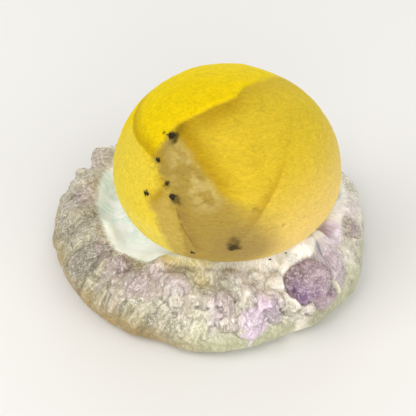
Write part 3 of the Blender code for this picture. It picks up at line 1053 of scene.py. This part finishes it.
# The paint of each colour zone, from the lowest layer up, and its strength: first those that the
# growth lines run over, then those that lie over the lines.
CRYSTAL_PAINTS = (
    ("cream", "#E0DAC2", 1.0),
    # Painted shade: the left side darker.
    ("left_side_shade", "#B2A888", 0.85),
    ("celadon", "#A6A884", 0.8),
    ("khaki", "#988C56", 0.8),
    ("ochre", "#9C7C30", 0.85),
    # crust: its pale colour, made whiter still as painted light where the ball shades it.
    ("crust", "#FFF4E8", 0.7),
    ("mauve", "#BBA9A0", 0.9),
    ("lilac", "#DCC6D8", 0.9),
    ("deep", "#A68C9E", 0.9),
    ("smoke", "#8C8470", 1.0),
    ("big", "#A48E96", 1.0),
    ("plum", "#80696F", 0.95),
    ("second", "#BDA8AE", 0.85),
    ("violet", "#7A5488", 0.8),
    # crevice: painted shade in the hollows.
    ("crevice_shade", CREVICE_SHADE, 0.15),
    ("fluorite", "#DECC74", 0.9),
    # glow: painted light, the hollow near white as if lit through the stone.
    ("glow", GLOW_WHITE, 0.95),
    ("mint", "#CFE4DA", 0.65),
    # Painted light: the pale crust made whiter still.
    ("pale_crust_and_painted_light", "#FFF4E8", 0.85),
)
OUTLINE_PAINTS = (
    # cleft: painted shade in the fine clefts and round the big crystals.
    ("cleft", "#6C5C54", 0.4),
    # edge: a painted highlight along the crystals' edges.
    ("edge", FROST_AND_HIGHLIGHT_WHITE, 0.3),
)
# How many growth lines lie along a millimetre across and along a crystal, and their relief.
LINES_PER_MM = (2.2, 1.2, 1.0)
LINE_HEIGHT = 0.06 * MM
# The levels of the growth noise that show as a white and as a dark line, and half their widths.
GROWTH_LINES = ((0.56, 0.035), (0.46, 0.025))
# How much light passes through the clearest crystals, and how strongly the brightest places glow.
CLEARNESS = 0.3
GLOW = 0.12


def pale_amethyst():
    """Quartz and amethyst, grown as a crust of small crystals and etched: some are clear and show
    deep colour, most are milky inside and light up, with fine growth lines, painted highlights on
    the edges and painted shade in the clefts. The light that comes up through the stone is given
    as a faint glow of its own, with painted light in the hollow and on the pale crust."""
    material, tree, shader = new_material("pale_amethyst_etched")
    growth = add(tree, "Attribute", {}, "Vector", attribute_name="growth")
    stretched = add(tree, "Mapping", {"Vector": growth, "Scale": LINES_PER_MM})
    strokes = add(
        tree,
        "TexNoise",
        {"Vector": stretched, "Scale": 1.0, "Detail": 3.0, "Roughness": 0.55, "Distortion": 0.6},
    )
    polish = add(tree, "Attribute", {}, "Fac", attribute_name="gloss")
    lines = []
    for level, half_width in GROWTH_LINES:
        off = add(tree, "Math", {0: strokes, 1: level}, operation="SUBTRACT")
        off = add(tree, "Math", {0: off}, operation="ABSOLUTE")
        line = {"Value": off, "From Min": half_width, "From Max": 0.0}
        line = add(tree, "MapRange", line, interpolation_type="SMOOTHSTEP")
        lines.append(add(tree, "Math", {0: line, 1: polish}, operation="MULTIPLY"))
    frosted, lined = lines
    colour = lay_paints(tree, srgb(QUARTZ_GREY), CRYSTAL_PAINTS)
    colour = shade_by(tree, colour, strokes, (0.32, 0.68), (0.90, 1.08))
    colour = lay_over(tree, colour, CREVICE_SHADE, lined, 0.5)
    colour = lay_over(tree, colour, FROST_AND_HIGHLIGHT_WHITE, frosted, 0.6)
    height = add(tree, "Math", {0: frosted, 1: lined}, operation="SUBTRACT")
    bump = {"Height": height, "Distance": LINE_HEIGHT, "Strength": 0.8}

    # Frosted lines are neither clear nor glossy.
    bare = add(tree, "Math", {0: 1.0, 1: frosted}, operation="SUBTRACT")
    clear = add(tree, "Attribute", {}, "Fac", attribute_name="clear")
    clear = add(tree, "Math", {0: bare, 1: clear}, operation="MULTIPLY")
    polish = add(tree, "Math", {0: bare, 1: polish}, operation="MULTIPLY")
    lit = add(tree, "Attribute", {}, "Fac", attribute_name="lit")
    finish = {
        "Base Color": lay_paints(tree, colour, OUTLINE_PAINTS),
        "Normal": add(tree, "Bump", bump),
        "Transmission Weight": add(tree, "Math", {0: clear, 1: CLEARNESS}, operation="MULTIPLY"),
        "Roughness": add(tree, "MapRange", {"Value": polish, "To Min": 0.5, "To Max": 0.14}),
        "Emission Strength": add(tree, "Math", {0: lit, 1: GLOW}, operation="MULTIPLY"),
        "Emission Color": srgb(GLOW_WHITE),
        "IOR": 1.544,
        "Subsurface Weight": 0.85,
        "Subsurface Radius": (1.0, 0.95, 0.9),
        "Subsurface Scale": 1.6 * MM,
    }
    set_inputs(tree, shader, finish)
    return material


# ---- the dark flecks

# Grains of dark mineral: half sunk in the ball, by way and size in mm, then on the crust, by place.
BALL_FLECKS = (
    ((-0.466, -0.431, 0.772), 1.10),
    ((-0.500, -0.405, 0.766), 0.45),
    ((-0.581, -0.551, 0.599), 0.65),
    ((-0.506, -0.728, 0.462), 0.50),
    ((-0.460, -0.800, 0.385), 0.85),
    ((-0.440, -0.820, 0.368), 0.40),
    ((-0.678, -0.666, 0.311), 0.70),
    ((-0.299, -0.924, -0.253), 0.60),
)
CRUST_FLECKS = (((9.3, -13.4), 0.60), ((11.5, -13.2), 0.65))
GRAINS = 6
RUST_BROWN = "#3A2A18"
# Blotches of rust along a metre: each is about 0.2 mm wide.
RUST_BLOTCHES = 6000


def add_grains(mesh, place, outward, size, dice):
    """Adds a few flat, splintery grains close together, in a patch as wide as this size."""
    lean = Vector(outward).to_track_quat("Z", "Y").to_matrix()
    for _ in range(GRAINS):
        radius = size * dice.uniform(0.10, 0.24)
        grain = bmesh.ops.create_icosphere(mesh, subdivisions=1, radius=radius)["verts"]
        stretch = dice.uniform(1.0, 1.9)
        for vertex in grain:
            vertex.co *= 1 + dice.uniform(-0.4, 0.4)
            vertex.co.x *= stretch
            vertex.co.z *= 0.5
        turn = lean @ Euler((0, 0, dice.uniform(0, math.tau))).to_matrix()
        bmesh.ops.rotate(mesh, verts=grain, matrix=turn, cent=(0, 0, 0))
        aside = Vector((dice.gauss(0, 0.22), dice.gauss(0, 0.22), 0)) * size
        bmesh.ops.translate(mesh, verts=grain, vec=Vector(place) + lean @ aside)


def dark_mineral():
    """Iron oxide: tiny black grains with splintery faces and a dull, slightly brown surface."""
    material, tree, shader = new_material("dark_mineral_grains")
    place = add(tree, "TexCoord", {}, "Object")
    rust = add(tree, "TexNoise", {"Vector": place, "Scale": RUST_BLOTCHES, "Detail": 3.0})
    colour = lay_over(tree, srgb(MINERAL_BLACK), RUST_BROWN, rust, 1.0)
    set_inputs(tree, shader, {"Base Color": colour, "Roughness": 0.8, "Specular IOR Level": 0.2})
    return material


def make_flecks(cluster_skin):
    dice = random.Random(8)
    mesh = bmesh.new()
    for way, size in BALL_FLECKS:
        place = ball_places(unit(way)[None, :], -0.02 * MM)[0]
        add_grains(mesh, place, way, size * MM, dice)
    crust = places_of(cluster_skin.data.vertices)
    for (x, y), size in CRUST_FLECKS:
        near = np.flatnonzero(np.hypot(crust[:, 0] - x * MM, crust[:, 1] - y * MM) < 0.3 * MM)
        add_grains(mesh, crust[near[crust[near, 2].argmax()]], UP, size * MM, dice)
    flecks = object_from(mesh, "dark_flecks", dark_mineral())
    flecks.data.set_sharp_from_angle(angle=SHARP_ANGLE)
    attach(flecks, "root")


# ---- the studio

CAMERA_ELEVATION = math.radians(43)
CAMERA_DISTANCE = 152 * MM
CAMERA_AIM = Vector((0, -3.6, 12.5)) * MM
LIGHT_AIM = Vector((0, 0, 15.0)) * MM


def make_floor():
    """A sheet of matt, pale grey card."""
    card, tree, shader = new_material("studio_floor_card")
    set_inputs(tree, shader, {"Base Color": srgb("#DEDCD8"), "Roughness": 0.9})
    mesh = bmesh.new()
    bmesh.ops.create_grid(mesh, x_segments=1, y_segments=1, size=1.5)
    bmesh.ops.translate(mesh, verts=mesh.verts, vec=(0, 0, -0.02 * MM))
    object_from(mesh, "studio_floor", card)


def place_camera():
    camera = bpy.data.objects.new("camera", bpy.data.cameras.new("camera"))
    camera.data.lens = 85
    camera.data.sensor_width = 36
    camera.data.clip_start = 0.01
    back = Vector((0, -math.cos(CAMERA_ELEVATION), math.sin(CAMERA_ELEVATION)))
    camera.location = CAMERA_AIM + back * CAMERA_DISTANCE
    camera.rotation_euler = (math.pi / 2 - CAMERA_ELEVATION, 0, 0)
    bpy.context.scene.collection.objects.link(camera)
    bpy.context.scene.camera = camera


def place_softbox(name, place, size, power):
    """A square white light, turned towards the object."""
    lamp = bpy.data.objects.new(name, bpy.data.lights.new(name, "AREA"))
    lamp.data.size = size
    lamp.data.energy = power
    lamp.location = place
    towards = LIGHT_AIM - lamp.location
    lamp.rotation_euler = towards.to_track_quat("-Z", "Y").to_euler()
    bpy.context.scene.collection.objects.link(lamp)


def light_the_room():
    world = bpy.data.worlds.new("studio_air")
    bpy.context.scene.world = world
    world.use_nodes = True
    air = world.node_tree
    set_inputs(air, air.nodes["Background"], {"Color": (1, 1, 1, 1), "Strength": 0.66})
    place_softbox("key_softbox", (-0.30, -0.14, 0.42), 0.35, 1.25)
    place_softbox("fill_softbox", (0.45, -0.30, 0.30), 0.4, 0.8)
    place_softbox("back_softbox", (0.05, 0.40, 0.16), 0.3, 0.5)
    place_softbox("low_softbox", (0.04, -0.40, 0.12), 0.3, 0.95)
    bpy.context.scene.view_settings.view_transform = "Standard"


make_ball_skin()
make_flecks(make_cluster_skin())
make_floor()
place_camera()
light_the_room()
